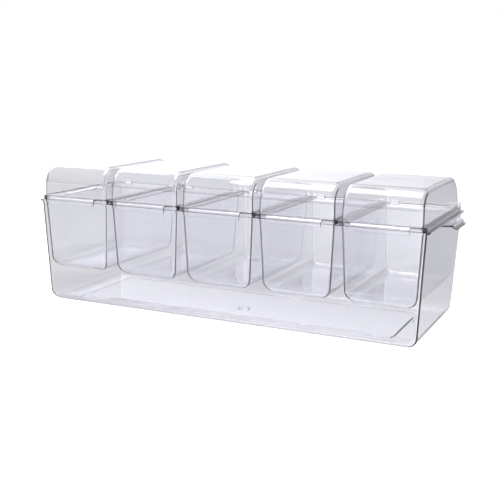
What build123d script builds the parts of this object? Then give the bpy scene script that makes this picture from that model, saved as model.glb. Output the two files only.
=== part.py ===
from build123d import *
import os
from math import radians, sqrt, tan

# A chilled condiment server in clear moulded plastic. Ice goes into a long tray, five deep cups
# hang in the tray by their flanges, and each cup has its own domed lid on a snap hinge.
# Millimetres. X runs along the row of cups, Y to the hinged back, Z up.
# The origin is the middle of the flat underside of the tray.

# Row of cups
cup_count = 5
cup_pitch = 76.0
flange_gap = 0.6
flange_depth = 139.6
flange_thickness = 1.8
flange_corner = 6.0

# Ice tray
tray_height = 101.5
tray_wall = 2.2
tray_floor = 2.4
tray_draft = 2.7
tray_corner = 4.5
tray_foot_round = 11.0
rim_reach = 2.4
rim_thickness = 1.8
rim_corner = 8.0
flange_bearing = 1.8
base_ring_width = 15.5
base_lift = 1.2
base_panel_corner = 6.0
gate_ring_radius = 6.0
gate_ring_width = 1.2
gate_ring_height = 0.4
gate_ring_x = 5.0
gate_ring_y = -16.0

# The last hair of each rounded foot is cut flat, where its corner curves would shrink to a point
foot_trim = 0.05

# Handle tab at each end of the tray
handle_drop = 0.2
handle_thickness = 1.6
handle_root_length = 54.0
handle_edge_length = 38.0
handle_reach = 12.5
handle_lip_flare = 2.6
handle_lip_height = 4.0
handle_corner = 3.0
handle_bend = 2.6

# Cups
cup_wall = 1.8
cup_floor = 2.0
cup_floor_level = 33.3
cup_draft = 2.9
cup_corner = 3.2
cup_foot_round = 12.0
cup_clearance = 1.0
cup_gate_radius = 2.5
cup_gate_height = 0.5
flange_root_round = 0.8

# Domed lids
dome_height = 31.7
dome_wall = 1.6
dome_side_inset = 2.7
dome_front_inset = 1.2
dome_back_inset = 3.8
dome_side_draft = 1.3
dome_front_round = 13.0
dome_back_round = 28.0
dome_edge_round = 4.0
lip_width = 51.0
lip_thickness = 1.5
lip_height = 6.4
lip_flare = 0.6
lip_bend = 2.4
lip_corner = 3.0
lip_rim_clearance = 0.4

# Snap hinge at each back corner of a cup
hinge_back_set = 1.8
ear_radius = 3.5
ear_width = 3.2
ear_side_inset = 2.1
ear_side_clearance = 0.3
knuckle_radius = 3.0
knuckle_width = 9.0
pin_radius = 1.5
pin_clearance = 0.05
pin_end_gap = 0.4
knuckle_web_rise = 2.5
hinge_swing_clearance = 0.3

# Values that follow from the sizes above
flange_width = cup_pitch - flange_gap
row_length = cup_count * cup_pitch - flange_gap
well_length = row_length - 2 * flange_bearing
well_depth = flange_depth - 2 * flange_bearing
foot_shrink = 2 * tray_height * tan(radians(tray_draft))
panel_length = well_length + 2 * tray_wall - foot_shrink - 2 * base_ring_width
panel_depth = well_depth + 2 * tray_wall - foot_shrink - 2 * base_ring_width
cup_body_width = flange_width - 2 * (flange_bearing + cup_clearance)
cup_body_depth = well_depth - 2 * cup_clearance
flange_top = tray_height + flange_thickness
lid_flange_top = flange_top + flange_thickness
dome_top = flange_top + dome_height
dome_width = flange_width - 2 * dome_side_inset
dome_front = -flange_depth / 2 + dome_front_inset
dome_back = flange_depth / 2 - dome_back_inset
rim_edge_y = -well_depth / 2 - tray_wall - rim_reach
hinge_y = flange_depth / 2 + hinge_back_set
hinge_z = tray_height + ear_radius
ear_middle_x = flange_width / 2 - ear_side_inset - ear_width / 2
knuckle_middle_x = ear_middle_x - ear_width / 2 - ear_side_clearance - knuckle_width / 2
knuckle_relief = knuckle_radius + hinge_swing_clearance
ear_relief = sqrt(ear_radius**2 + (hinge_z - flange_top) ** 2) + hinge_swing_clearance
pin_reach = knuckle_width / 2 + ear_side_clearance + ear_width - pin_end_gap


def cup_x(number):
    """Middle of one cup along the row, counted from the left end."""
    return (number - (cup_count - 1) / 2) * cup_pitch


def drafted_plug(length, depth, top, bottom, draft_angle, corner, foot_round):
    """A block that narrows downwards, with round upright corners and a rounder underside."""
    with BuildPart() as plug:
        with BuildSketch(Plane.XY.offset(bottom - foot_trim)):
            Rectangle(length, depth)
        extrude(amount=top - bottom + foot_trim)
        sides = plug.faces().filter_by(Axis.Z, reverse=True)
        draft(sides, neutral_plane=Plane.XY.offset(top), angle=-draft_angle)
        fillet(plug.edges().group_by(Axis.Z)[0], radius=foot_round)
        # The upright corners run on as the mitred curves where two rounded foot edges meet.
        levels = plug.edges().filter_by(GeomType.LINE).filter_by(Plane.XY)
        flats = levels + plug.edges().group_by(Axis.Z)[-1]
        fillet([edge for edge in plug.edges() if edge not in flats], radius=corner)
        split(bisect_by=Plane.XY.offset(bottom), keep=Keep.TOP)
    return plug.part


def dome_block(width, front, back, top, front_round, back_round, edge_round):
    """A lid form: a side view with a round front and a rounder back, softened along both sides."""
    with BuildPart() as dome:
        with BuildSketch(Plane.YZ):
            with BuildLine():
                Line((back - back_round, top), (front + front_round, top))
                RadiusArc((front + front_round, top), (front, top - front_round), -front_round)
                Polyline(
                    (front, top - front_round),
                    (front, flange_top),
                    (back, flange_top),
                    (back, top - back_round),
                )
                RadiusArc((back, top - back_round), (back - back_round, top), -back_round)
            make_face()
        extrude(amount=width / 2, both=True)
        sides = dome.faces().filter_by(Axis.X)
        draft(sides, neutral_plane=Plane.XY.offset(flange_top), angle=dome_side_draft)
        side_faces = dome.faces().sort_by(Axis.X)
        side_edges = side_faces[0].edges() + side_faces[-1].edges()
        foot_edges = dome.edges().group_by(Axis.Z)[0]
        fillet([edge for edge in side_edges if edge not in foot_edges], radius=edge_round)
    return dome.part


def turned_down_strip(side_view, start, edge, top, thickness, height, flare, bend, width):
    """A flat strip that runs outwards from start and turns down at its edge with a round bend."""
    with BuildPart() as strip:
        with BuildSketch(side_view):
            with BuildLine():
                FilletPolyline(
                    (start, top - thickness / 2),
                    (edge - flare - thickness / 2, top - thickness / 2),
                    (edge - thickness / 2, top - height),
                    radius=bend - thickness / 2,
                )
            trace(line_width=thickness)
        extrude(amount=width / 2, both=True)
    return strip.part


def handle_tab():
    """The tab that is gripped at the right-hand end of the tray, narrower at its turned-down edge."""
    root_x = well_length / 2 + tray_wall
    rim_x = root_x + rim_reach
    edge_x = rim_x + handle_reach
    top = tray_height - handle_drop
    strip = turned_down_strip(
        Plane.XZ,
        root_x,
        edge_x,
        top,
        handle_thickness,
        handle_lip_height,
        handle_lip_flare,
        handle_bend,
        handle_root_length,
    )
    with BuildPart() as tab:
        add(strip)
        with BuildSketch(Plane.XY.offset(top)) as plan:
            Polygon(
                (root_x, -handle_root_length / 2),
                (rim_x, -handle_root_length / 2),
                (edge_x, -handle_edge_length / 2),
                (edge_x, handle_edge_length / 2),
                (rim_x, handle_root_length / 2),
                (root_x, handle_root_length / 2),
                align=None,
            )
            fillet(plan.vertices().group_by(Axis.X)[-1], radius=handle_corner)
        extrude(amount=-handle_lip_height, mode=Mode.INTERSECT)
    return tab.part


def ice_tray_form():
    """The ice tray: one drafted shell with a flat rim, two handle tabs and a gate ring inside."""
    outside = drafted_plug(
        well_length + 2 * tray_wall,
        well_depth + 2 * tray_wall,
        tray_height,
        0,
        tray_draft,
        tray_corner,
        tray_foot_round,
    )
    well = drafted_plug(
        well_length,
        well_depth,
        tray_height,
        tray_floor,
        tray_draft,
        tray_corner - tray_wall,
        tray_foot_round - tray_wall,
    )
    tab = handle_tab()
    with BuildPart() as tray:
        add(outside)
        with BuildSketch(Plane.XY.offset(tray_height - rim_thickness)):
            RectangleRounded(
                well_length + 2 * (tray_wall + rim_reach),
                well_depth + 2 * (tray_wall + rim_reach),
                rim_corner,
            )
        extrude(amount=rim_thickness)
        add(tab)
        mirror(tab, about=Plane.YZ)
        add(well, mode=Mode.SUBTRACT)
        for level, mode in ((tray_floor, Mode.ADD), (0, Mode.SUBTRACT)):
            with BuildSketch(Plane.XY.offset(level)):
                RectangleRounded(panel_length, panel_depth, base_panel_corner)
            extrude(amount=base_lift, mode=mode)
        with BuildSketch(Plane.XY.offset(tray_floor + base_lift)):
            with Locations((gate_ring_x, gate_ring_y)):
                Circle(gate_ring_radius)
                Circle(gate_ring_radius - gate_ring_width, mode=Mode.SUBTRACT)
        extrude(amount=gate_ring_height)
    return tray.part


def cup_form():
    """One cup: a deep drafted shell under a flange, with two hinge ears at its back."""
    inner_width = cup_body_width - 2 * cup_wall
    inner_depth = cup_body_depth - 2 * cup_wall
    inner_corner = cup_corner - cup_wall
    outside = drafted_plug(
        cup_body_width,
        cup_body_depth,
        tray_height,
        cup_floor_level,
        cup_draft,
        cup_corner,
        cup_foot_round,
    )
    inside = drafted_plug(
        inner_width,
        inner_depth,
        flange_top,
        cup_floor_level + cup_floor,
        cup_draft,
        inner_corner,
        cup_foot_round - cup_wall,
    )
    with BuildPart() as cup:
        with BuildSketch(Plane.XY.offset(tray_height)):
            RectangleRounded(flange_width, flange_depth, flange_corner)
        extrude(amount=flange_thickness)
        add(outside)
        flange_underside = cup.faces().filter_by(Axis.Z).sort_by(Axis.Z)[1]
        fillet(flange_underside.inner_wires()[0].edges(), radius=flange_root_round)
        add(inside, mode=Mode.SUBTRACT)
        with BuildSketch(Plane.XY.offset(cup_floor_level)):
            Circle(cup_gate_radius)
        extrude(amount=-cup_gate_height)
        for side in (-1, 1):
            with BuildSketch(Plane.YZ.offset(side * knuckle_middle_x)):
                with Locations((hinge_y, hinge_z)):
                    Circle(knuckle_relief)
            extrude(
                amount=knuckle_width / 2 + ear_side_clearance, both=True, mode=Mode.SUBTRACT
            )
            with BuildSketch(Plane.YZ.offset(side * ear_middle_x)):
                with Locations((hinge_y, hinge_z)):
                    Circle(ear_radius)
                with Locations((hinge_y, (hinge_z + tray_height) / 2)):
                    Rectangle(2 * ear_radius, hinge_z - tray_height)
                with Locations((hinge_y, hinge_z)):
                    Circle(pin_radius + pin_clearance, mode=Mode.SUBTRACT)
            extrude(amount=ear_width / 2, both=True)
    return cup.part


def finger_lip():
    """The lip in the middle of a lid's front edge, turned down in front of the tray rim."""
    front_view = Plane(origin=(0, 0, 0), x_dir=(0, -1, 0), z_dir=(-1, 0, 0))
    edge = -rim_edge_y + lip_rim_clearance + lip_thickness + lip_flare
    strip = turned_down_strip(
        front_view,
        -dome_front - dome_wall,
        edge,
        lid_flange_top,
        lip_thickness,
        lip_height,
        lip_flare,
        lip_bend,
        lip_width,
    )
    with BuildPart() as lip:
        add(strip)
        with BuildSketch(Plane.XY.offset(lid_flange_top)):
            RectangleRounded(lip_width, 2 * edge, lip_corner)
        extrude(amount=-lip_height, mode=Mode.INTERSECT)
    return lip.part


def lid_form():
    """One lid: a thin dome on a flange, with a finger lip in front and two pinned knuckles."""
    outside = dome_block(
        dome_width,
        dome_front,
        dome_back,
        dome_top,
        dome_front_round,
        dome_back_round,
        dome_edge_round,
    )
    inside = dome_block(
        dome_width - 2 * dome_wall,
        dome_front + dome_wall,
        dome_back - dome_wall,
        dome_top - dome_wall,
        dome_front_round - dome_wall,
        dome_back_round - dome_wall,
        dome_edge_round - dome_wall,
    )
    lip = finger_lip()
    with BuildPart() as lid:
        add(outside)
        with BuildSketch(Plane.XY.offset(flange_top)):
            RectangleRounded(flange_width, flange_depth, flange_corner)
        extrude(amount=flange_thickness)
        add(lip)
        for side in (-1, 1):
            with BuildSketch(Plane.YZ.offset(side * ear_middle_x)):
                with Locations((hinge_y, hinge_z)):
                    Circle(ear_relief)
            extrude(amount=ear_width / 2 + ear_side_clearance, both=True, mode=Mode.SUBTRACT)
            web_depth = hinge_y - dome_back + dome_wall / 2
            with BuildSketch(Plane.YZ.offset(side * knuckle_middle_x)):
                with Locations((hinge_y, hinge_z)):
                    Circle(knuckle_radius)
                with Locations((hinge_y - web_depth / 2, flange_top + knuckle_web_rise / 2)):
                    Rectangle(web_depth, knuckle_web_rise)
            extrude(amount=knuckle_width / 2, both=True)
            with BuildSketch(Plane.YZ.offset(side * knuckle_middle_x)):
                with Locations((hinge_y, hinge_z)):
                    Circle(pin_radius)
            extrude(amount=side * pin_reach)
        add(inside, mode=Mode.SUBTRACT)
    return lid.part


os.makedirs("parts", exist_ok=True)

with BuildPart() as ice_tray:
    add(ice_tray_form())
ice_tray.part.label = "ice_tray"
export_step(ice_tray.part, "parts/ice_tray.step")

one_cup = cup_form()
one_lid = lid_form()
for cup_index in range(cup_count):
    with BuildPart() as insert:
        with Locations((cup_x(cup_index), 0, 0)):
            add(one_cup)
    insert.part.label = f"insert_{cup_index + 1}"
    export_step(insert.part, f"parts/{insert.part.label}.step")

    with BuildPart() as lid:
        with Locations((cup_x(cup_index), 0, 0)):
            add(one_lid)
    lid.part.label = f"lid_{cup_index + 1}"
    export_step(lid.part, f"parts/{lid.part.label}.step")
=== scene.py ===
# %% [markdown]
# # A chilled condiment server in clear moulded plastic
# The CAD model gives every piece its place and size. This lesson gives the pieces their finished
# shapes and the look of polished clear plastic: thin walls with real thickness, soft mould
# radii on every edge, and a studio that lets clear plastic show itself. The shapes are worked out
# in millimetres, and the helpers below turn them into Blender's metres.

from math import atan2, cos, pi, radians, sin, sqrt, tan

import bmesh
import bpy
from mathutils import Matrix, Vector


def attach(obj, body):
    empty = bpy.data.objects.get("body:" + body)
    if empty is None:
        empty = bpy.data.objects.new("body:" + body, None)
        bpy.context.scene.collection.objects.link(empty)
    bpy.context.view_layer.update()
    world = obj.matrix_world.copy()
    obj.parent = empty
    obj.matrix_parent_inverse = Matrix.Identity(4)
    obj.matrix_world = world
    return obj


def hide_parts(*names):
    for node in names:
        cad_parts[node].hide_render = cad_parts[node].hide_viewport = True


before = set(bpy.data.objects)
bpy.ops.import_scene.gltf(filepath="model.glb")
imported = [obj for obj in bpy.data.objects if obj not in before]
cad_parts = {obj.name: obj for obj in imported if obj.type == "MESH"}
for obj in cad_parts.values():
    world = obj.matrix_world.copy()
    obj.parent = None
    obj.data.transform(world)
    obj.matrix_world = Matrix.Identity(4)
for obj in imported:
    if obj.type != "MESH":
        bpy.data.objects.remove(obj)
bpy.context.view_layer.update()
scene = bpy.context.scene
cup_count = sum(1 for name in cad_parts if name.startswith("insert_"))
print("cups in the row:", cup_count)

# %% [markdown]
# ## Helpers for shapes
# A moulded cup or lid is one skin that runs down the outside, round the foot and up the inside.
# It could be a box with bevels and a Solidify modifier, but then the wall and the corners could
# not change on the way. So each level of the skin is a rounded rectangle, a piece is a list of
# such loops, and neighbouring loops are joined with faces. All loops have the same number of
# points, which keeps the faces in clean bands that shade smoothly.

# %% Loops
MM = 0.001
corner_steps = 12


def rounded_loop(left, right, front, back, radius, z):
    """Points round a rounded rectangle, counted anticlockwise from the right."""
    points = []
    corners = ((right, back, 0), (left, back, 90), (left, front, 180), (right, front, 270))
    for x, y, start in corners:
        middle_x = x - radius if x == right else x + radius
        middle_y = y - radius if y == back else y + radius
        for step in range(corner_steps + 1):
            turn = radians(start + 90 * step / corner_steps)
            points.append((middle_x + radius * cos(turn), middle_y + radius * sin(turn), z))
    return points


def flat_loop(middle_x, half_x, half_y, radius, z):
    """A rounded rectangle in the middle of the depth, given by its half sizes."""
    return rounded_loop(middle_x - half_x, middle_x + half_x, -half_y, half_y, radius, z)


def arc(start_degrees, end_degrees, steps):
    """Angles from start to end, both ends included."""
    return [radians(start_degrees + (end_degrees - start_degrees) * i / steps) for i in range(steps + 1)]


print("points in one loop:", 4 * (corner_steps + 1))


# %% Skins
def mesh_piece(name, mesh):
    """Turns a finished bmesh into a new object in the scene."""
    data = bpy.data.meshes.new(name)
    mesh.to_mesh(data)
    mesh.free()
    piece = bpy.data.objects.new(name, data)
    scene.collection.objects.link(piece)
    return piece


def skin(name, loops):
    """One closed mesh through the loops, with a flat face on the first and the last loop."""
    mesh = bmesh.new()
    rings = [[mesh.verts.new(Vector(point) * MM) for point in loop] for loop in loops]
    for below, above in zip(rings, rings[1:]):
        for here in range(len(below)):
            after = (here + 1) % len(below)
            mesh.faces.new((below[here], below[after], above[after], above[here]))
    mesh.faces.new(list(reversed(rings[0])))
    mesh.faces.new(rings[-1])
    bmesh.ops.recalc_face_normals(mesh, faces=mesh.faces)
    return mesh_piece(name, mesh)


print("faces from one loop to the next:", 4 * (corner_steps + 1))

# %% [markdown]
# ## Walls, roots and edges
# Every basin in this object has the same three stretches. A wall leans out a little so that the
# piece leaves its mould, and its foot is round. A small root radius carries the wall into the
# flat rim, where a sharp inside corner would crack. The rim's own edge is rounded by a fraction of
# a millimetre, which is the line of light that the eye follows on clear plastic.

# %% Basin walls
slope_steps, foot_steps, edge_steps = 6, 12, 3
smallest_corner, edge_round = 0.3, 0.3


def basin_wall(middle_x, half_x, half_y, top, bottom, lean, corner, foot_round, stop=None):
    """Loops from the edge of a flat floor, round the foot and up a leaning wall.

    The half sizes are measured at the top, and the loops end at stop, or at the top.
    """
    rise = tan(radians(lean))
    centre_z = bottom + foot_round
    centre_inset = rise * (top - centre_z) + foot_round / cos(radians(lean))
    levels = []
    for angle in arc(-90, -lean, foot_steps):
        level_corner = max(corner * cos(angle), smallest_corner)
        inset = centre_inset - foot_round * cos(angle)
        levels.append((inset, centre_z + foot_round * sin(angle), level_corner))
    foot_top = levels[-1][1]
    wall_top = top if stop is None else stop
    for step in range(1, slope_steps + 1):
        z = foot_top + (wall_top - foot_top) * step / slope_steps
        levels.append((rise * (top - z), z, corner))
    return [
        flat_loop(middle_x, half_x - inset, half_y - inset, level_corner, z)
        for inset, z, level_corner in levels
    ]


def root_round(middle_x, half_x, half_y, corner, top, radius):
    """Loops that carry an upright wall outwards into the flat underside of a rim."""
    loops = []
    for angle in arc(0, 90, edge_steps):
        out = radius * (1 - cos(angle))
        z = top - radius * (1 - sin(angle))
        loops.append(flat_loop(middle_x, half_x + out, half_y + out, corner + out, z))
    return loops


def plate_edge(middle_x, half_x, half_y, corner, low, high, split=None):
    """Loops round the edge of a flat plate, from its underside to its top, with a small round."""
    loops = []
    quarters = ((low + edge_round, arc(-90, 0, edge_steps)), (high - edge_round, arc(0, 90, edge_steps)))
    for centre_z, angles in quarters:
        for angle in angles:
            out = edge_round * cos(angle) - edge_round
            z = centre_z + edge_round * sin(angle)
            loops.append(flat_loop(middle_x, half_x + out, half_y + out, corner + out, z))
    if split:
        loops.insert(len(loops) // 2, flat_loop(middle_x, half_x, half_y, corner, split))
    return loops


print("levels in one wall:", foot_steps + 1 + slope_steps)

# %% [markdown]
# ## The ice tray
# The tray is one injection moulding that holds crushed ice under the inserts. Its foot is
# generously round, and the middle of its floor is lifted a little, least in front, so that it
# stands on a flat band. Its loop list walks once round the section: from the middle of the
# underside, up the outside, over the rim and down the inside to the middle of the floor.

# %% Tray sizes
tray_height, tray_wall, tray_floor, tray_lean = 101.5, 2.2, 2.4, 2.7
well_half_x, well_half_y = 187.9, 68.0
tray_half_x, tray_half_y = well_half_x + tray_wall, well_half_y + tray_wall
tray_corner, tray_foot_round = 4.5, 11.0
rim_reach, rim_thickness, rim_corner, rim_root_round = 2.4, 1.8, 8.0, 0.5
print("tray over its rim:", 2 * (tray_half_x + rim_reach), "by", 2 * (tray_half_y + rim_reach))

# %% Lifted floor panel
panel_half_x, panel_back, panel_corner = 158.5, 43.5, 7.0
panel_lift, panel_front_lift, panel_ramp = 1.2, 0.25, 1.2
under_front, under_front_ramp = 49.9, 5.6
inside_front, inside_front_ramp = 54.8, 1.0
ramp_profile = ((1.0, 0.0), (0.75, 0.15), (0.5, 0.5), (0.25, 0.85), (0.0, 1.0))


def panel_loops(level, front, front_ramp):
    """The step in the floor round its lifted panel, with its own place and ramp in front."""
    loops = []
    for share, rise in ramp_profile:
        out = panel_ramp * share
        loop = rounded_loop(
            -panel_half_x - out, panel_half_x + out, -front - front_ramp * share, panel_back + out,
            panel_corner + out, level,
        )
        depth = front + panel_back
        lifts = []
        for x, y, z in loop:
            way_back = min(max((y + front) / depth, 0), 1)
            lifts.append(panel_lift * (panel_front_lift + (1 - panel_front_lift) * way_back))
        loops.append([(x, y, z + lift * rise) for (x, y, z), lift in zip(loop, lifts)])
    return loops


print("lift of the panel, front and back:", panel_lift * panel_front_lift, panel_lift)


# %% Tray
def tray_loops():
    under_rim = tray_height - rim_thickness
    lean_in = tan(radians(tray_lean)) * rim_thickness
    outside = basin_wall(
        0, tray_half_x, tray_half_y, tray_height, 0, tray_lean,
        tray_corner, tray_foot_round, under_rim - rim_root_round,
    )
    root = root_round(
        0, tray_half_x - lean_in, tray_half_y - lean_in, tray_corner, under_rim, rim_root_round
    )
    inside = basin_wall(
        0, well_half_x, well_half_y, tray_height, tray_floor, tray_lean,
        tray_corner - tray_wall, tray_foot_round - tray_wall,
    )
    rim = plate_edge(
        0, tray_half_x + rim_reach, tray_half_y + rim_reach, rim_corner, under_rim, tray_height
    )
    under = list(reversed(panel_loops(0, under_front, under_front_ramp)))
    panel = panel_loops(tray_floor, inside_front, inside_front_ramp)
    return under + outside + root[1:] + rim + list(reversed(inside)) + panel


tray = skin("ice_tray_clear", tray_loops())
print("tray faces:", len(tray.data.polygons))

# %% [markdown]
# ## The inserts
# Each insert is a deep cup that hangs in the tray by its flange. It is the same walk round a
# section: floor, leaning wall, flange and back down inside. Only its place along the row differs,
# so one function makes them all. The flange stands a few hundredths off the rim that carries it,
# because two clear faces in exactly the same place show as noise.

# %% Inserts
cup_pitch, flange_half_x, flange_half_y, flange_corner = 76.0, 37.7, 69.8, 6.0
flange_thickness, seat_gap = 1.8, 0.04
flange_top = tray_height + flange_thickness
cup_half_x, cup_half_y, cup_wall, cup_floor = 34.9, 67.0, 1.8, 2.0
cup_floor_level, cup_lean = 33.3, 2.9
cup_corner, cup_foot_round, flange_root_round = 3.2, 12.0, 0.8


def cup_middle(number):
    return (number - (cup_count + 1) / 2) * cup_pitch


def cup_loops(middle_x):
    flange_under = tray_height + seat_gap
    outside = basin_wall(
        middle_x, cup_half_x, cup_half_y, tray_height, cup_floor_level, cup_lean,
        cup_corner, cup_foot_round, tray_height - flange_root_round,
    )
    root = root_round(middle_x, cup_half_x, cup_half_y, cup_corner, flange_under, flange_root_round)
    inside = basin_wall(
        middle_x, cup_half_x - cup_wall, cup_half_y - cup_wall, flange_top,
        cup_floor_level + cup_floor, cup_lean, cup_corner - cup_wall, cup_foot_round - cup_wall,
    )
    flange = plate_edge(middle_x, flange_half_x, flange_half_y, flange_corner, flange_under, flange_top)
    return outside + root[1:] + flange + list(reversed(inside))


cups = [skin(f"insert_{n}_clear", cup_loops(cup_middle(n))) for n in range(1, cup_count + 1)]
print("faces in one insert:", len(cups[0].data.polygons))

# %% [markdown]
# ## The lids
# A lid's side view is flat on top with a tight round in front and a wide round at the back, and
# that outline is softened along both sides. A bevelled block would pinch where the roundings meet.
# Here, at each height the loop's corners follow the side rounding exactly: a rounding that runs
# along a curved edge is a circle across the edge, so each corner point sits on its own, slightly
# smaller, copy of the side view.

# %% Domes
dome_top, dome_wall, dome_lean = 135.0, 1.6, 1.3
dome_half_x, dome_front, dome_back = 35.0, -68.6, 66.0
front_round, back_round, side_round, dome_root_round = 18.0, 28.0, 4.0, 0.8
dome_steps, last_turn, least_rise = 22, 1.2, 1.0


def dome_loop(middle_x, z, gap):
    """The loop of a dome at height z. gap is 0 on the outside and the wall on the inside."""
    top, half_x = dome_top - gap, dome_half_x - gap
    front, back = dome_front + gap, dome_back - gap
    side = side_round - gap
    drop = top - z
    reach = pi / 2 if drop >= side else atan2(sqrt(max(2 * side * drop - drop * drop, 0)), side - drop)
    tilt = tan(radians(dome_lean)) * (z - flange_top)

    def ends(turn, radius, edge, sign):
        small = radius - side * (1 - cos(turn))
        rise = max(z - (top - radius), 0)
        return edge + sign * (radius - sqrt(max(small * small - rise * rise, 0)))

    angles = [reach * step / corner_steps for step in range(corner_steps + 1)]
    across = [half_x - side + side * sin(turn) - tilt for turn in angles]
    backs = [ends(turn, back_round - gap, back, -1) for turn in angles]
    fronts = [ends(turn, front_round - gap, front, 1) for turn in angles]
    right_back = [(middle_x + x, y, z) for x, y in zip(reversed(across), reversed(backs))]
    left_back = [(middle_x - x, y, z) for x, y in zip(across, backs)]
    left_front = [(middle_x - x, y, z) for x, y in zip(reversed(across), reversed(fronts))]
    right_front = [(middle_x + x, y, z) for x, y in zip(across, fronts)]
    return right_back + left_back + left_front + right_front


def dome_levels(gap, low):
    """Heights from low to the top, closer together where the roundings turn over."""
    top = dome_top - gap
    high = [top - (back_round - gap) * (1 - cos(angle)) for angle in arc(90, last_turn, dome_steps)]
    return [low] + [z for z in high if z > low + least_rise]


print("levels in one dome:", len(dome_levels(0, flange_top + flange_thickness)))

# %% Lids
lid_top = flange_top + flange_thickness
parting_height = 0.9


def lid_loops(middle_x):
    under = flange_top + seat_gap
    inside = [dome_loop(middle_x, z, dome_wall) for z in dome_levels(dome_wall, under)]
    outside = [dome_loop(middle_x, z, 0) for z in dome_levels(0, lid_top)]
    flange = plate_edge(
        middle_x, flange_half_x, flange_half_y, flange_corner, under, lid_top, flange_top + parting_height
    )
    root = [
        dome_loop(middle_x, lid_top + dome_root_round * (1 - cos(angle)), dome_root_round * (sin(angle) - 1))
        for angle in arc(0, 90, edge_steps)
    ]
    return list(reversed(inside)) + flange + root + outside[1:]


lids = [skin(f"lid_{n}_clear", lid_loops(cup_middle(n))) for n in range(1, cup_count + 1)]
print("faces in one lid:", len(lids[0].data.polygons))

# %% [markdown]
# ## Small features
# Ears, knuckles, finger lips and handle tabs are all a flat outline pushed through a width. They
# could lie in the piece as separate meshes, but then light would bend at faces that the real
# moulding doesn't have. So they are joined to it with a union, and light passes through one body.

# %% Prisms and unions
def prism(name, outline, start, end, place, rounding):
    """Pushes an outline from start to end. place turns (along, u, v) into a point."""
    mesh = bmesh.new()
    near = [mesh.verts.new(Vector(place(start, u, v)) * MM) for u, v in outline]
    far = [mesh.verts.new(Vector(place(end, u, v)) * MM) for u, v in outline]
    caps = [mesh.faces.new(near), mesh.faces.new(list(reversed(far)))]
    for here in range(len(outline)):
        after = (here + 1) % len(outline)
        mesh.faces.new((near[here], far[here], far[after], near[after]))
    bmesh.ops.recalc_face_normals(mesh, faces=mesh.faces)
    if rounding:
        edges = [edge for cap in caps for edge in cap.edges]
        bmesh.ops.bevel(
            mesh, geom=edges, offset=rounding * MM, segments=2, profile=0.5, affect="EDGES"
        )
    return mesh_piece(name, mesh)


def unite(piece, *others, operation="UNION"):
    """Joins the other pieces into this one, or cuts them from it, and deletes them."""
    for other in others:
        join = piece.modifiers.new("join", "BOOLEAN")
        join.operation = operation
        join.solver = "EXACT"
        join.object = other
    bpy.context.view_layer.update()
    graph = bpy.context.evaluated_depsgraph_get()
    data = bpy.data.meshes.new_from_object(piece.evaluated_get(graph))
    piece.modifiers.clear()
    piece.data = data
    for other in others:
        bpy.data.objects.remove(other)


def along_x(x, y, z):
    return (x, y, z)


def disc(u, v, radius, steps=28):
    """An outline with the corners of a regular polygon, close to a circle."""
    turns = [2 * pi * i / steps for i in range(steps)]
    return [(u + radius * cos(turn), v + radius * sin(turn)) for turn in turns]


print("sides of one disc:", len(disc(0, 0, 1)))

# %% [markdown]
# ## Hinges
# Two ears at the back of each insert have bores, and two knuckles on each lid carry stub pins that
# snap into them. The flange is cut away round the knuckles and the lid round the ears, by the gap
# that lets the lid turn. Each feature is placed from the pin's line, as a toolmaker would do it.

# %% Hinges
hinge_y, hinge_z, hinge_gap = 71.6, 105.0, 0.3
ear_radius, ear_width, ear_inset, ear_relief = 3.5, 3.2, 2.1, 4.2
ear_middle = flange_half_x - ear_inset - ear_width / 2
knuckle_radius, knuckle_width = 3.0, 9.0
knuckle_middle = ear_middle - ear_width / 2 - hinge_gap - knuckle_width / 2
pin_radius, pin_play, pin_short, pin_edge_round, pin_steps = 1.5, 0.05, 0.4, 0.2, 20
bore_reach, seat_lift, web_front, web_height, ear_steps = 3, 0.06, 66.2, 2.5, 16


def ear_outline():
    """A round ear on a square foot that stands on the level of the flange's underside."""
    foot = tray_height + seat_lift
    turn = [(hinge_y + ear_radius * cos(a), hinge_z + ear_radius * sin(a)) for a in arc(0, 180, ear_steps)]
    return [(hinge_y + ear_radius, foot)] + turn + [(hinge_y - ear_radius, foot)]


def web_outline():
    """The flat web that joins a knuckle to the lid's flange."""
    low, high = flange_top + seat_lift, flange_top + web_height
    return [(web_front, low), (hinge_y, low), (hinge_y, high), (web_front, high)]


def hinge_prism(name, outline, middle, half_width, rounding=0):
    return prism(name, outline, middle - half_width, middle + half_width, along_x, rounding)


def add_ear(cup, ear_x, knuckle_x):
    """Clears the flange for the knuckle, and adds the ear with its bore."""
    clearance = disc(hinge_y, hinge_z, knuckle_radius + hinge_gap)
    unite(
        cup, hinge_prism("relief", clearance, knuckle_x, knuckle_width / 2 + hinge_gap),
        operation="DIFFERENCE",
    )
    unite(cup, hinge_prism("ear", ear_outline(), ear_x, ear_width / 2, edge_round))
    bore = disc(hinge_y, hinge_z, pin_radius + pin_play)
    unite(cup, hinge_prism("bore", bore, ear_x, bore_reach), operation="DIFFERENCE")


def add_knuckle(lid, ear_x, knuckle_x, side):
    """Clears the lid for the ear, and adds the knuckle with its web and its pin."""
    clearance = disc(hinge_y, hinge_z, ear_relief)
    unite(
        lid, hinge_prism("relief", clearance, ear_x, ear_width / 2 + hinge_gap),
        operation="DIFFERENCE",
    )
    web = hinge_prism("web", web_outline(), knuckle_x, knuckle_width / 2, edge_round)
    barrel = disc(hinge_y, hinge_z, knuckle_radius)
    knuckle = hinge_prism("knuckle", barrel, knuckle_x, knuckle_width / 2, edge_round)
    pin_tip = knuckle_x + side * (knuckle_width / 2 + hinge_gap + ear_width - pin_short)
    pin_ends = sorted((knuckle_x, pin_tip))
    pin = prism("pin", disc(hinge_y, hinge_z, pin_radius, pin_steps), *pin_ends, along_x, pin_edge_round)
    unite(lid, web, knuckle, pin)


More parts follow.
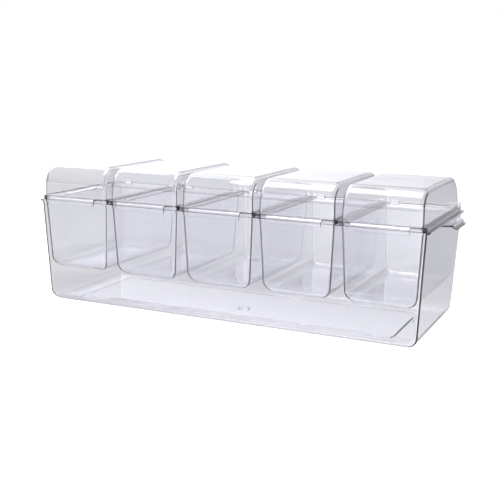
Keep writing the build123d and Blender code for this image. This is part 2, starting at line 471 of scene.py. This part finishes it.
for number, (cup, lid) in enumerate(zip(cups, lids), 1):
    for side in (-1, 1):
        ear_x = cup_middle(number) + side * ear_middle
        knuckle_x = cup_middle(number) + side * knuckle_middle
        add_ear(cup, ear_x, knuckle_x)
        add_knuckle(lid, ear_x, knuckle_x, side)
print("hinges joined:", 2 * cup_count)

# %% [markdown]
# ## Finger lips and handle tabs
# A lid is lifted by a strip in the middle of its front edge, and the tray is carried by a wider
# strip at each end. Both turn down at their edge, which stiffens thin plastic and is kind to the
# fingers. One outline, a flat run, a bend and a flared end, serves both.

# %% Strips that turn down
bend_end, bend_steps, strip_edge_round = 12, 7, 0.35


def strip_outline(start, edge, top, thickness, height, flare, bend):
    """The section of a flat strip that turns down at its edge, as (outwards, up) points."""
    centre = (edge - flare - bend, top - bend)
    outer, inner = [(start, top)], [(edge - thickness, top - height)]
    for angle in arc(90, bend_end, bend_steps):
        outer.append((centre[0] + bend * cos(angle), centre[1] + bend * sin(angle)))
    outer.append((edge, top - height))
    small = bend - thickness
    for angle in reversed(arc(90, bend_end, bend_steps)):
        inner.append((centre[0] + small * cos(angle), centre[1] + small * sin(angle)))
    inner.append((start, top - thickness))
    return outer + inner


print("points in a strip's section:", 2 * (bend_steps + 3))

# %% Finger lips
lip_root, lip_edge, lip_half = 67.8, 75.1, 25.5
lip_thickness, lip_height, lip_flare, lip_bend = 1.5, 6.4, 0.6, 2.4


def front_lip(x, out, z):
    return (x, -out, z)


for number, lid in enumerate(lids, 1):
    middle = cup_middle(number)
    outline = strip_outline(lip_root, lip_edge, lid_top, lip_thickness, lip_height, lip_flare, lip_bend)
    unite(lid, prism("lip", outline, middle - lip_half, middle + lip_half, front_lip, strip_edge_round))
print("faces in a lid with its lip:", len(lids[0].data.polygons))

# %% Handle tabs
tab_root, tab_edge, tab_drop = tray_half_x - 0.8, 204.8, 0.2
tab_root_half, tab_edge_half = 27.0, 19.0
tab_thickness, tab_height, tab_flare, tab_bend = 1.6, 4.0, 2.6, 2.6


def tab_place(side):
    """Places a tab at one end of the tray, narrower towards its edge."""

    def place(y, out, z):
        rim = tray_half_x + rim_reach
        share = max(0.0, (out - rim) / (tab_edge - rim))
        narrow = 1 - share * (1 - tab_edge_half / tab_root_half)
        return (side * out, y * narrow, z)

    return place


for side in (-1, 1):
    outline = strip_outline(
        tab_root, tab_edge, tray_height - tab_drop, tab_thickness, tab_height, tab_flare, tab_bend
    )
    unite(tray, prism("tab", outline, -tab_root_half, tab_root_half, tab_place(side), strip_edge_round))
print("tray faces with its tabs:", len(tray.data.polygons))

# %% [markdown]
# ## Gate marks
# Every moulding has a mark where the plastic entered the mould. Each insert has a small button with
# a dimple under its floor, and the tray has a low ring on its lifted panel.

# %% Gate marks
button_radius, button_sink, button_rise = 2.5, 0.5, 0.8
dimple_radius, dimple_low, dimple_high = 1.1, 1.0, 0.1
ring_x, ring_y, ring_radius, ring_bore = 5.0, -16.0, 6.0, 4.8
ring_sink, ring_rise, hole_sink, hole_rise, gate_edge_round = 0.5, 0.4, 0.02, 1.0, 0.15
button_steps, dimple_steps, ring_steps = 32, 24, 48


def upright(middle_x, middle_y):
    def place(z, x, y):
        return (middle_x + x, middle_y + y, z)

    return place


for number, cup in enumerate(cups, 1):
    place = upright(cup_middle(number), 0)
    low, high = cup_floor_level - button_sink, cup_floor_level + button_rise
    unite(cup, prism("button", disc(0, 0, button_radius, button_steps), low, high, place, gate_edge_round))
    low, high = cup_floor_level - dimple_low, cup_floor_level - dimple_high
    dimple = prism("dimple", disc(0, 0, dimple_radius, dimple_steps), low, high, place, 0)
    unite(cup, dimple, operation="DIFFERENCE")
panel_top = tray_floor + panel_lift
place = upright(ring_x, ring_y)
low, high = panel_top - ring_sink, panel_top + ring_rise
ring = prism("ring", disc(0, 0, ring_radius, ring_steps), low, high, place, gate_edge_round)
low, high = panel_top - hole_sink, panel_top + hole_rise
hole = prism("hole", disc(0, 0, ring_bore, ring_steps), low, high, place, 0)
unite(ring, hole, operation="DIFFERENCE")
unite(tray, ring)
print("gate marks:", cup_count + 1)

# %% [markdown]
# ## Colours and nodes
# Colours are written as sRGB hex, as a colour chart gives them, and Blender's shaders want linear
# values, so one function turns them. A second one adds a node with its settings and links, which
# keeps each node of a material on one or two lines.

# %% Colour helper and node helper
def srgb(text):
    """An sRGB hex colour as linear red, green, blue and alpha."""
    values = [int(text[i : i + 2], 16) / 255 for i in (1, 3, 5)]
    linear = [v / 12.92 if v <= 0.04045 else ((v + 0.055) / 1.055) ** 2.4 for v in values]
    return (*linear, 1.0)


def node(tree, kind, settings=None, links=None):
    """Adds one node, sets its properties and sockets, and links sockets to other outputs."""
    made = tree.nodes.new(kind)
    for name, value in (settings or {}).items():
        if isinstance(name, int) or name in made.inputs:
            made.inputs[name].default_value = value
        else:
            setattr(made, name, value)
    for name, source in (links or {}).items():
        tree.links.new(source, made.inputs[name])
    return made


def eased(low, high, start, end):
    """Settings that carry a value from start to end, gently, while its input goes from low to high."""
    return {
        "interpolation_type": "SMOOTHSTEP",
        "From Min": low, "From Max": high, "To Min": start, "To Max": end,
    }


print("linear mid grey:", round(srgb("#808080")[0], 3))

# %% [markdown]
# ## Clear plastic
# The mouldings are a clear styrene plastic, as kitchen storage is: index 1.57, polished by the
# mould, faintly cool in its thick parts. The eye gets three things from that: dark outlines where
# the walls turn edge on, pale grey panels where two or three walls overlap, and sharp highlights.
# Styrene flows into its mould in slow ripples, which bend what is seen through the wall, and hands
# leave patches of faint haze. The bend is a bump and the haze a change of roughness. A wall that is
# seen at a slant gets a darker tint by Layer Weight: painted shade in place of the longer path through thick
# glass.
# Long paths inside the plastic are dimmed by absorption in its volume. Shadow rays pass straight
# through, so that the floor under the object isn't black.

# %% Clear plastic material
styrene_index = 1.57
ripples_per_metre, ripple_depth, ripple_strength = 38.0, 0.00006, 0.5  # one ripple every 26 mm
haze_per_metre, haze_low, haze_high, haze_gain = 90.0, 0.45, 0.75, 3.0  # patches 11 mm across
slant_from, slant_to = 0.40, 0.85


def clear_plastic(name, tint, slant_shade_tint, soak, roughness):
    """Polished clear styrene with mould ripples, faint haze, absorption and painted shade at a slant."""
    material = bpy.data.materials.new(name)
    material.use_nodes = True
    tree = material.node_tree
    tree.nodes.clear()
    place = node(tree, "ShaderNodeTexCoord")
    flow = node(
        tree, "ShaderNodeTexNoise", {"Scale": ripples_per_metre, "Detail": 1.0, "Roughness": 0.4},
        {"Vector": place.outputs["Object"]},
    )
    bump = node(
        tree, "ShaderNodeBump", {"Strength": ripple_strength, "Distance": ripple_depth},
        {"Height": flow.outputs["Fac"]},
    )
    haze = node(
        tree, "ShaderNodeTexNoise",
        {"Scale": haze_per_metre, "Detail": 4.0, "Roughness": 0.6, "Distortion": 0.6},
        {"Vector": place.outputs["Object"]},
    )
    worn = node(
        tree, "ShaderNodeMapRange",
        {
            "From Min": haze_low, "From Max": haze_high,
            "To Min": roughness, "To Max": haze_gain * roughness,
        },
        {"Value": haze.outputs["Fac"]},
    )
    # Painted shade: walls seen at a slant take the darker second tint.
    slant = node(tree, "ShaderNodeLayerWeight", {"Blend": 0.5})
    slant_shade_share = node(
        tree, "ShaderNodeMapRange", eased(slant_from, slant_to, 0.0, 1.0), {"Value": slant.outputs["Facing"]}
    )
    tint_with_slant_shade = node(
        tree, "ShaderNodeMix", {"data_type": "RGBA", 6: tint, 7: slant_shade_tint}, {0: slant_shade_share.outputs["Result"]}
    )
    body = node(
        tree, "ShaderNodeBsdfPrincipled", {"IOR": styrene_index, "Transmission Weight": 1.0},
        {
            "Base Color": tint_with_slant_shade.outputs[2],
            "Roughness": worn.outputs["Result"],
            "Normal": bump.outputs["Normal"],
        },
    )
    clear = node(tree, "ShaderNodeBsdfTransparent", {"Color": srgb("#F4F4F6")})
    path = node(tree, "ShaderNodeLightPath")
    shell = node(
        tree, "ShaderNodeMixShader",
        links={"Fac": path.outputs["Is Shadow Ray"], 1: body.outputs[0], 2: clear.outputs[0]},
    )
    inner = node(tree, "ShaderNodeVolumeAbsorption", {"Color": srgb("#B8B8C4"), "Density": soak})
    node(tree, "ShaderNodeOutputMaterial", links={"Surface": shell.outputs[0], "Volume": inner.outputs[0]})
    return material


# The second colour of each plastic is the painted shade of walls seen at a slant.
tray_plastic = clear_plastic("clear_styrene_tray", srgb("#FEFEFF"), srgb("#DCDCE4"), 8.0, 0.012)
cup_plastic = clear_plastic("clear_styrene_insert", srgb("#FCFCFE"), srgb("#D0D0DA"), 5.0, 0.014)
lid_plastic = clear_plastic("clear_styrene_lid", srgb("#FEFEFF"), srgb("#DADAE2"), 2.5, 0.010)
print("plastics:", tray_plastic.name, cup_plastic.name, lid_plastic.name)

# %% [markdown]
# ## The parting edge
# The two halves of a lid's mould meet along the edge of its flange. The steel there is ground and not
# polished, so the edge scatters light, and those faces get a rougher finish. The fine dark line round
# every lid is painted shade: the same plastic gets a greyer tint on those faces only, darker in front,
# where one looks straight at the edge, and lighter along the sides.

# %% Parting edge
# Painted shade: a dark grey tint on the flange edge in front, a lighter grey along the sides.
parting_shade_front = clear_plastic("styrene_parting_edge_front", srgb("#6C6C76"), srgb("#5A5A64"), 2.5, 0.12)
parting_shade_sides = clear_plastic("styrene_parting_edge", srgb("#9898A2"), srgb("#80808A"), 2.5, 0.10)
edge_depth, edge_height, edge_slack, steepest, front_reach = 0.35, 0.95, 0.01, 0.9, 2.5


def mark_edge(lid, middle_x):
    """Gives the upper half of a lid's flange edge the parting edge's rougher finish and painted dark line.
    """
    lid.data.materials.append(parting_shade_front)
    lid.data.materials.append(parting_shade_sides)
    for polygon in lid.data.polygons:
        x, y, z = (value / MM for value in polygon.center)
        past_x = max(abs(x - middle_x) - (flange_half_x - flange_corner), 0)
        past_y = max(abs(y) - (flange_half_y - flange_corner), 0)
        outside = Vector((past_x, past_y)).length - flange_corner
        at_edge = abs(outside) < edge_depth and lid_top - edge_height < z < lid_top + edge_slack
        if at_edge and abs(polygon.normal.z) < steepest:
            polygon.material_index = 1 if y < -flange_half_y + front_reach else 2


print("parting edge finishes:", parting_shade_front.name, parting_shade_sides.name)

# %% [markdown]
# ## Finishing the pieces
# Each piece gets smooth shading with sharp edges kept by angle. Weighted normals keep the flat
# walls flat up to their small radii, which matters more on clear plastic than on any other
# surface, because a bent normal bends everything seen through the wall. Then the piece is tied to
# its body in the frame and takes the place of its CAD node.

# %% Finish the pieces
sharp_angle, flat_weight = radians(32), 100


def finish_piece(piece, material, body, cad_node):
    """Smooth shading that keeps flats flat, the material, and the piece's place in the frame."""
    piece.data.materials.clear()
    piece.data.materials.append(material)
    for polygon in piece.data.polygons:
        polygon.use_smooth = True
        polygon.material_index = 0
    piece.data.set_sharp_from_angle(angle=sharp_angle)
    flats = piece.modifiers.new("flat faces stay flat", "WEIGHTED_NORMAL")
    flats.keep_sharp = True
    flats.weight = flat_weight
    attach(piece, body)
    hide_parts(cad_node)


finish_piece(tray, tray_plastic, "tray", "ice_tray")
for number in range(1, cup_count + 1):
    finish_piece(cups[number - 1], cup_plastic, f"cup_{number}", f"insert_{number}")
    finish_piece(lids[number - 1], lid_plastic, f"cover_{number}", f"lid_{number}")
    mark_edge(lids[number - 1], cup_middle(number))
print("pieces finished:", 1 + 2 * cup_count)

# %% [markdown]
# ## The studio
# Clear plastic shows what it bends and mirrors, so the studio is built by kind of ray and not by
# lamps. The camera sees plain white. A ray that has passed through the plastic sees a bright field
# along the line of sight, a dark room at both sides, which the edges turn into dark outlines, a
# glow at the right-hand front and a bright sky above. A mirrored ray sees a grey room below and a
# bright sky. All of it is brighter on the left than on the right, as a window on the left gives.

# %% Directions and levels
sight_turn = radians(24.0)
away_axis = (-sin(sight_turn), cos(sight_turn), 0)
aside_axis = (cos(sight_turn), sin(sight_turn), 0)
glow_axis = (0.94, -0.34, 0)
left_gain, right_gain = 1.50, 0.56
field_glow, dark_room, right_glow, high_sky = 1.2, 0.07, 0.85, 0.9
front_gleam, far_gleam, back_gleam, sky_gleam = 0.50, 1.3, 0.10, 1.50
table_white, room_white = (0.99, 0.99, 1.02, 1), (0.985, 0.985, 1.03, 1)
print("the field lies along:", [round(value, 3) for value in away_axis])

# %% World
# Each pair is where a change starts and ends, as the cosine to an axis or as the height looked at.
field_ends, glow_ends = (0.78, 0.92), (0.35, 0.75)
sky_ends, gleam_ends, grade_reach = (0.28, 0.45), (0.02, 0.14), 0.3
world = bpy.data.worlds.new("studio")
scene.world = world
world.use_nodes = True
tree = world.node_tree
tree.nodes.clear()
path = node(tree, "ShaderNodeLightPath")
place = node(tree, "ShaderNodeTexCoord")
direction = place.outputs["Generated"]
height = node(tree, "ShaderNodeSeparateXYZ", links={"Vector": direction}).outputs["Z"]
sight = node(tree, "ShaderNodeVectorMath", {"operation": "DOT_PRODUCT", 1: away_axis}, {0: direction})
both_ways = node(tree, "ShaderNodeMath", {"operation": "ABSOLUTE"}, {0: sight.outputs["Value"]})
field = node(
    tree, "ShaderNodeMapRange", eased(*field_ends, 0.0, field_glow), {"Value": both_ways.outputs[0]}
)
glow_side = node(tree, "ShaderNodeVectorMath", {"operation": "DOT_PRODUCT", 1: glow_axis}, {0: direction})
room = node(
    tree, "ShaderNodeMapRange", eased(*glow_ends, dark_room, right_glow),
    {"Value": glow_side.outputs["Value"]},
)
lower = node(tree, "ShaderNodeMath", {"operation": "MAXIMUM"}, {0: field.outputs[0], 1: room.outputs[0]})
above = node(tree, "ShaderNodeMapRange", eased(*sky_ends, 0.0, 1.0), {"Value": height})
through = node(
    tree, "ShaderNodeMix", {"data_type": "FLOAT", 3: high_sky}, {0: above.outputs[0], 2: lower.outputs[0]}
)
gleam = node(tree, "ShaderNodeMapRange", eased(*gleam_ends, front_gleam, sky_gleam), {"Value": height})
level = node(
    tree, "ShaderNodeMix", {"data_type": "FLOAT"},
    {0: path.outputs["Is Transmission Ray"], 2: gleam.outputs[0], 3: through.outputs[0]},
)
across = node(tree, "ShaderNodeVectorMath", {"operation": "DOT_PRODUCT", 1: aside_axis}, {0: direction})
grade = node(
    tree, "ShaderNodeMapRange",
    {"From Min": -grade_reach, "From Max": grade_reach, "To Min": left_gain, "To Max": right_gain},
    {"Value": across.outputs["Value"]},
)
graded = node(tree, "ShaderNodeMath", {"operation": "MULTIPLY"}, {0: level.outputs[0], 1: grade.outputs[0]})
room_light = node(tree, "ShaderNodeBackground", {"Color": room_white}, {"Strength": graded.outputs[0]})
white = node(tree, "ShaderNodeBackground", {"Color": (1, 1, 1, 1), "Strength": 1.0})
mix = node(
    tree, "ShaderNodeMixShader",
    links={"Fac": path.outputs["Is Camera Ray"], 1: room_light.outputs[0], 2: white.outputs[0]},
)
node(tree, "ShaderNodeOutputWorld", links={"Surface": mix.outputs[0]})
print("world nodes:", len(tree.nodes))

# %% [markdown]
# ## The table
# The object stands on a white table that runs out of the picture. It has a diffuse part, which
# takes the object's soft shadow, and a glow of its own that depends on the kind of ray, like the
# world's. Nearly everything seen through the plastic is this table, so its bright field, its dark
# sides and the dark line where the round foot stands are drawn here.

# %% Table top
floor_half, floor_drop = 3.0, 0.0003
floor_corners = ((-1, -1), (1, -1), (1, 1), (-1, 1))
floor_data = bpy.data.meshes.new("floor")
corners = [(x * floor_half, y * floor_half, 0) for x, y in floor_corners]
floor_data.from_pydata(corners, [], [(0, 1, 2, 3)])
floor = bpy.data.objects.new("floor", floor_data)
floor.location.z = -floor_drop
scene.collection.objects.link(floor)
floor_material = bpy.data.materials.new("white_table")
floor_material.use_nodes = True
tree = floor_material.node_tree
tree.nodes.clear()
path = node(tree, "ShaderNodeLightPath")
spot = node(tree, "ShaderNodeTexCoord").outputs["Object"]
print("table is", 2 * floor_half, "m wide")

# %% Bright field on the table
floor_glow, far_floor, front_floor, dark_floor = 0.92, 1.05, 0.9, 0.06
field_spread, field_edge = -0.36, (0.205, 0.26)
front_edge_ends, outer_glow_ends, table_grade_reach = (-0.20, -0.05), (0.10, 0.25), 0.35
along = node(tree, "ShaderNodeVectorMath", {"operation": "DOT_PRODUCT", 1: away_axis}, {0: spot})
sideways = node(tree, "ShaderNodeVectorMath", {"operation": "DOT_PRODUCT", 1: aside_axis}, {0: spot})
away, aside = along.outputs["Value"], sideways.outputs["Value"]
far = node(tree, "ShaderNodeMath", {"operation": "ABSOLUTE"}, {0: away})
wide = node(tree, "ShaderNodeMath", {"operation": "ABSOLUTE"}, {0: aside})
spread = node(tree, "ShaderNodeMath", {"operation": "MULTIPLY", 1: field_spread}, {0: far.outputs[0]})
edge = node(tree, "ShaderNodeMath", {"operation": "ADD"}, {0: wide.outputs[0], 1: spread.outputs[0]})
lit = node(tree, "ShaderNodeMapRange", eased(*front_edge_ends, front_floor, far_floor), {"Value": away})
grade = node(
    tree, "ShaderNodeMapRange",
    {
        "From Min": -table_grade_reach, "From Max": table_grade_reach,
        "To Min": left_gain, "To Max": right_gain,
    },
    {"Value": aside},
)
graded = node(tree, "ShaderNodeMath", {"operation": "MULTIPLY"}, {0: lit.outputs[0], 1: grade.outputs[0]})
glow_side = node(tree, "ShaderNodeVectorMath", {"operation": "DOT_PRODUCT", 1: glow_axis}, {0: spot})
outside = node(
    tree, "ShaderNodeMapRange", eased(*outer_glow_ends, dark_floor, right_glow),
    {"Value": glow_side.outputs["Value"]},
)
past_field = node(tree, "ShaderNodeMapRange", eased(*field_edge, 0.0, 1.0), {"Value": edge.outputs[0]})
table = node(
    tree, "ShaderNodeMix", {"data_type": "FLOAT"},
    {0: past_field.outputs[0], 2: graded.outputs[0], 3: outside.outputs[0]},
)
print("half width of the field beside the object, in metres:", field_edge[0])

# %% [markdown]
# The round foot bends light away from the table just under it, so a narrow dark band, a painted
# shadow in the table's glow, follows the foot's outline. It is measured from a rectangle that is a little
# smaller than the foot.

# %% Painted shadow line at the foot
# Painted shadow: the table's glow drops to a low level in a band round the foot.
foot_half_x, foot_half_y, painted_foot_shadow_level = 0.1755, 0.0555, 0.22
band_start, band_end = (-0.008, -0.003), (0.010, 0.016)
size = node(tree, "ShaderNodeVectorMath", {"operation": "ABSOLUTE"}, {0: spot})
shrunk = node(
    tree, "ShaderNodeVectorMath", {"operation": "SUBTRACT", 1: (foot_half_x, foot_half_y, 0)},
    {0: size.outputs["Vector"]},
)
past = node(tree, "ShaderNodeSeparateXYZ", links={"Vector": shrunk.outputs["Vector"]})
beyond = node(tree, "ShaderNodeMath", {"operation": "MAXIMUM"}, {0: past.outputs["X"], 1: past.outputs["Y"]})
near_foot = node(tree, "ShaderNodeMapRange", eased(*band_start, 0.0, 1.0), {"Value": beyond.outputs[0]})
before_end = node(tree, "ShaderNodeMapRange", eased(*band_end, 1.0, 0.0), {"Value": beyond.outputs[0]})
painted_foot_shadow = node(
    tree, "ShaderNodeMath", {"operation": "MULTIPLY"}, {0: near_foot.outputs[0], 1: before_end.outputs[0]}
)
under_plastic = node(
    tree, "ShaderNodeMix", {"data_type": "FLOAT", 3: painted_foot_shadow_level},
    {0: painted_foot_shadow.outputs[0], 2: table.outputs[0]},
)
print("dark line round a foot of:", 2 * foot_half_x, "by", 2 * foot_half_y, "m")

# %% Table as each kind of ray sees it
front_ends, back_ends = (-0.9, -0.25), (-0.10, 0.10)
in_front = node(tree, "ShaderNodeMapRange", eased(*front_ends, far_gleam, front_gleam), {"Value": away})
at_back = node(tree, "ShaderNodeMapRange", eased(*back_ends, 0.0, 1.0), {"Value": away})
mirrored = node(
    tree, "ShaderNodeMix", {"data_type": "FLOAT", 3: back_gleam},
    {0: at_back.outputs[0], 2: in_front.outputs[0]},
)
for_glass = node(
    tree, "ShaderNodeMix", {"data_type": "FLOAT"},
    {0: path.outputs["Is Glossy Ray"], 2: under_plastic.outputs[0], 3: mirrored.outputs[0]},
)
for_all = node(
    tree, "ShaderNodeMix", {"data_type": "FLOAT", 3: floor_glow},
    {0: path.outputs["Is Camera Ray"], 2: for_glass.outputs[0]},
)
matt = node(tree, "ShaderNodeBsdfDiffuse", {"Color": (0.3, 0.3, 0.3, 1)})
hue = node(
    tree, "ShaderNodeMix", {"data_type": "RGBA", 6: table_white, 7: (1, 1, 1, 1)},
    {0: path.outputs["Is Camera Ray"]},
)
glow = node(tree, "ShaderNodeEmission", links={"Color": hue.outputs[2], "Strength": for_all.outputs[0]})
both = node(tree, "ShaderNodeAddShader", links={0: matt.outputs[0], 1: glow.outputs[0]})
node(tree, "ShaderNodeOutputMaterial", links={"Surface": both.outputs[0]})
floor.data.materials.append(floor_material)
print("table nodes:", len(tree.nodes))

# %% [markdown]
# ## Lamp and light paths
# One weak overhead softbox gives the table its light. A look through five inserts crosses more
# than thirty clear faces, so the bounce counts are raised until the plastic stays clear.

# %% Overhead softbox
lamp_data = bpy.data.lights.new("overhead", "AREA")
lamp_data.shape = "RECTANGLE"
lamp_data.size, lamp_data.size_y, lamp_data.energy = 1.2, 0.8, 12
lamp = bpy.data.objects.new("overhead", lamp_data)
lamp.location = (0, 0, 1.4)
lamp.rotation_euler = (-lamp.location).to_track_quat("-Z", "Y").to_euler()
scene.collection.objects.link(lamp)
scene.cycles.max_bounces = 40
scene.cycles.transmission_bounces = 40
scene.cycles.glossy_bounces = 12
scene.cycles.transparent_max_bounces = 32
scene.view_settings.view_transform = "Standard"
print("lamp power in watts:", lamp_data.energy)

# %% [markdown]
# ## The camera
# The photo looks down a little from the front right. The camera stands where a fit of the
# object's outline puts it, and its lens gives the same perspective.

# %% Camera
focal_pixels, photo_pixels, sensor_width = 897.595, 500, 36.0
camera_place = (0.356174, -0.773877, 0.229213)
yaw, pitch, roll = radians(24.544), radians(11.456), radians(0.88)
camera_data = bpy.data.cameras.new("camera")
camera_data.sensor_width = sensor_width
camera_data.lens = focal_pixels / photo_pixels * sensor_width
camera_data.clip_start = 0.05
camera = bpy.data.objects.new("camera", camera_data)
forward = Vector((-sin(yaw) * cos(pitch), cos(yaw) * cos(pitch), -sin(pitch)))
level_right = Vector((cos(yaw), sin(yaw), 0))
level_up = level_right.cross(forward)
right = cos(roll) * level_right + sin(roll) * level_up
up = cos(roll) * level_up - sin(roll) * level_right
turn = Matrix((right, up, -forward)).transposed().to_4x4()
camera.matrix_world = Matrix.Translation(camera_place) @ turn
scene.collection.objects.link(camera)
scene.camera = camera
print("lens in mm:", round(camera_data.lens, 1))
